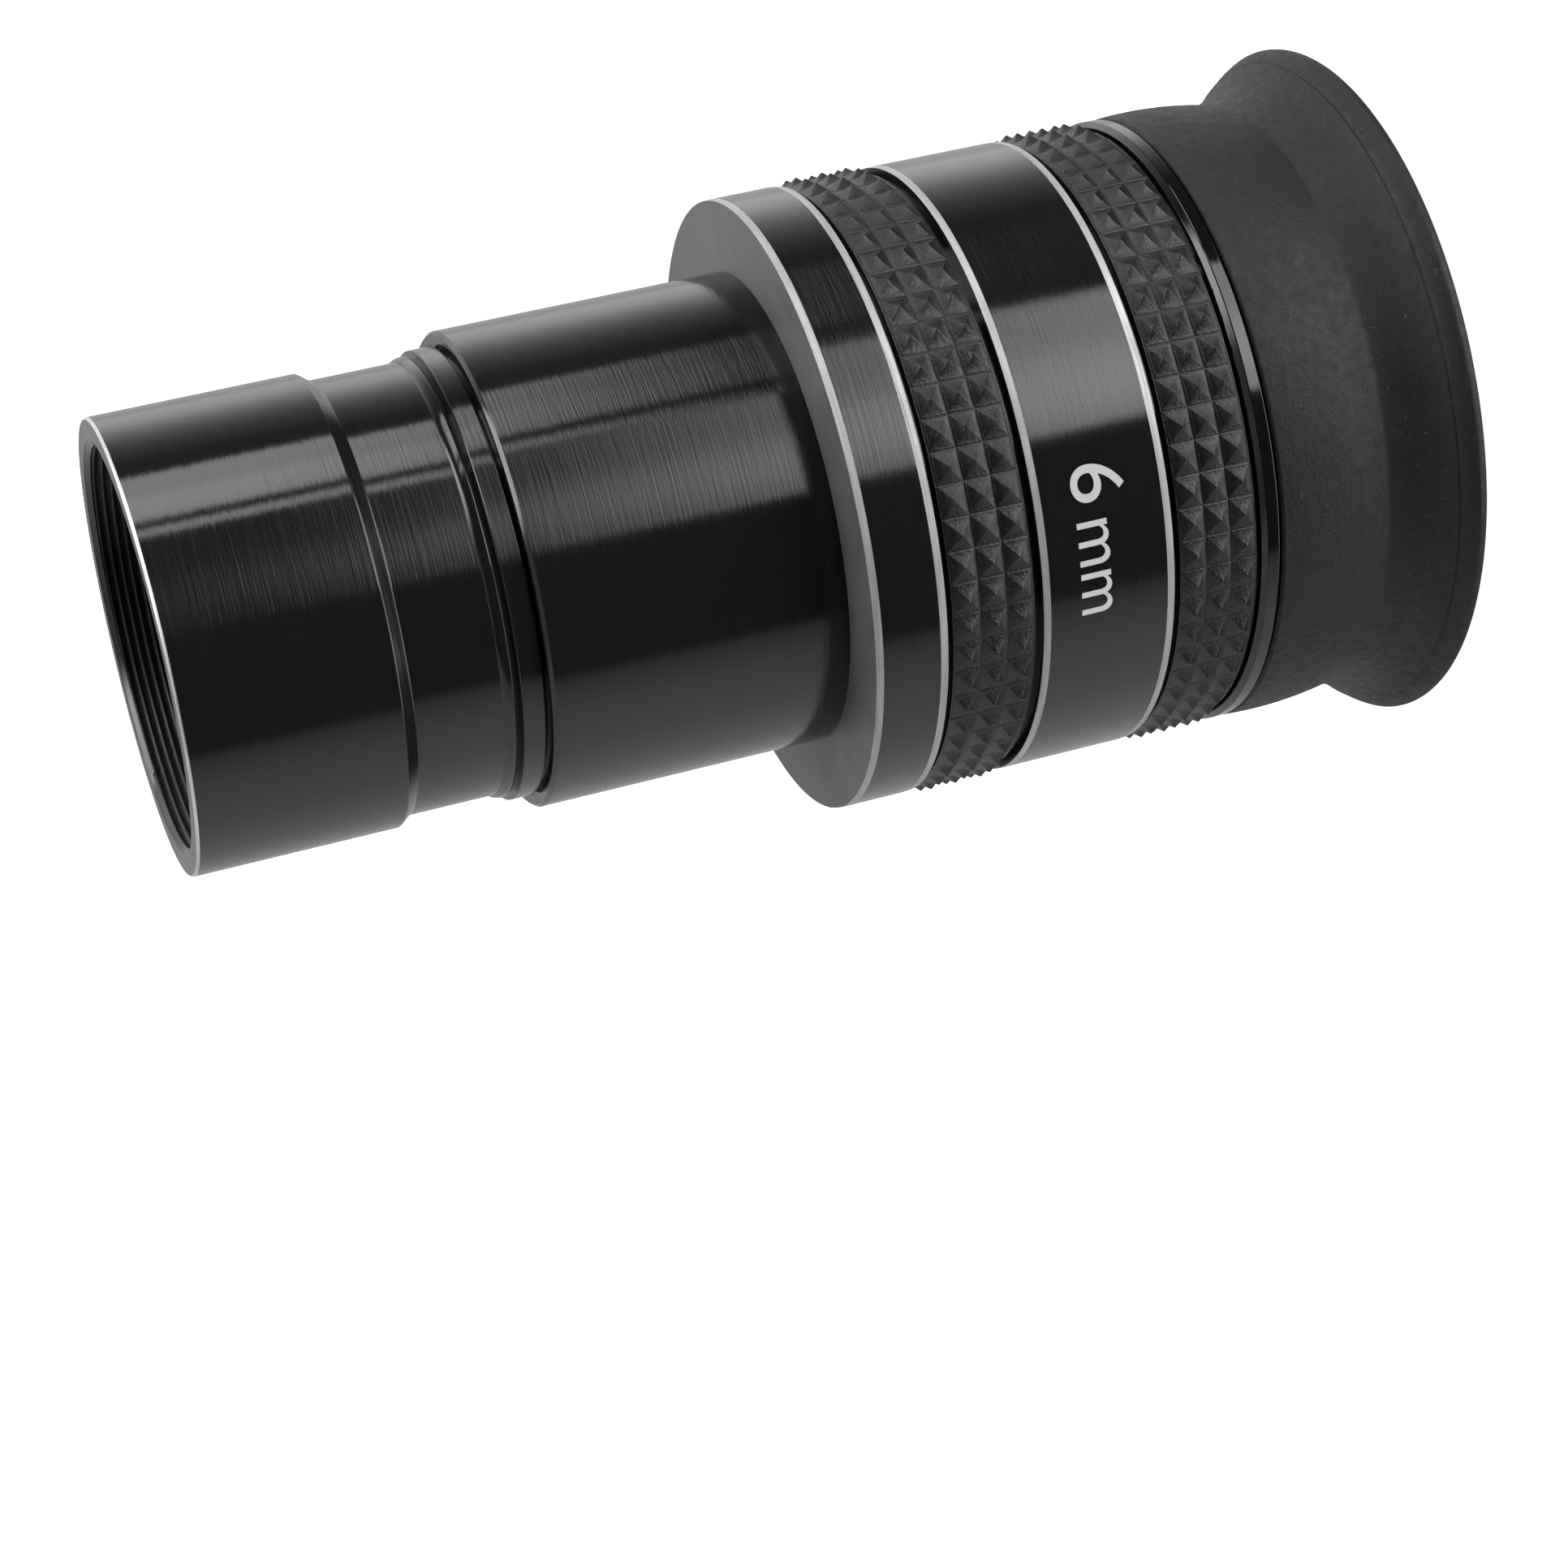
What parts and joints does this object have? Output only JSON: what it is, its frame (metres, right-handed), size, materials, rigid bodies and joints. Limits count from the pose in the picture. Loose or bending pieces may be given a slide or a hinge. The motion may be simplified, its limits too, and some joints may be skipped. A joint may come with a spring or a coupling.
{
  "type": "telescope eyepiece",
  "caption": "Black stepped telescope eyepiece with a 1.25 inch nose barrel, ribbed rubber grips and a twist-up rubber eyecup; it magnifies the image from a telescope.",
  "frame": {"origin": "on the optical axis, in the plane of the eyecup's rim, with the eyepiece standing on its eyecup", "axes": "+Z along the optical axis from the eye towards the telescope, so the nose barrel points up; +X through one guide pin and one grub screw"},
  "size_m": [0.0486, 0.0486, 0.0889],
  "materials": {
    "black_anodised": "turned and black anodised, satin",
    "housing_anodised": "black anodised, with bare machined bevels",
    "gloss_black_anodised": "polished, then black anodised",
    "inner_black": "matt black",
    "grip_rubber": "moulded, matt",
    "eyecup_rubber": "soft, matt",
    "seal_rubber": "greased",
    "coated_glass": "polished, with an anti-reflection coating",
    "steel": "plain"
  },
  "bodies": {
    "housing": {"nose_barrel": "black_anodised", "smyth_cell": "inner_black", "smyth_retaining_ring": "inner_black", "smyth_front_lens": "coated_glass", "smyth_rear_lens": "coated_glass", "extension_tube": "black_anodised", "glare_baffle": "inner_black", "main_housing": "housing_anodised", "lower_grip_ring": "grip_rubber", "cell_grub_screws": "steel", "lens_cell": "inner_black", "field_stop": "inner_black", "field_lens": "coated_glass", "field_spacer": "inner_black", "doublet_flint": "coated_glass", "doublet_crown": "coated_glass", "eye_spacer": "inner_black", "eye_lens": "coated_glass", "eye_lens_retaining_ring": "inner_black"},
    "lift_ring": {"damping_ring": "seal_rubber"},
    "eyecup": {"twist_sleeve": "gloss_black_anodised", "guide_pins": "steel", "upper_grip_ring": "grip_rubber", "rubber_eyecup": "eyecup_rubber"}
  },
  "joints": [
    {"name": "eyecup_lift", "type": "slide", "parent": "housing", "child": "lift_ring", "axis": [0, 0, -1], "range_m": [0, 0.008]},
    {"name": "eyecup_twist", "type": "hinge", "parent": "lift_ring", "child": "eyecup", "pos_m": [0, 0, 0.014], "axis": [0, 0, -1], "range_deg": [0, 120]}
  ],
  "couplings": [
    {"joint": "eyecup_lift", "follows": "eyecup_twist", "m_per_rad": 0.0038197}
  ]
}
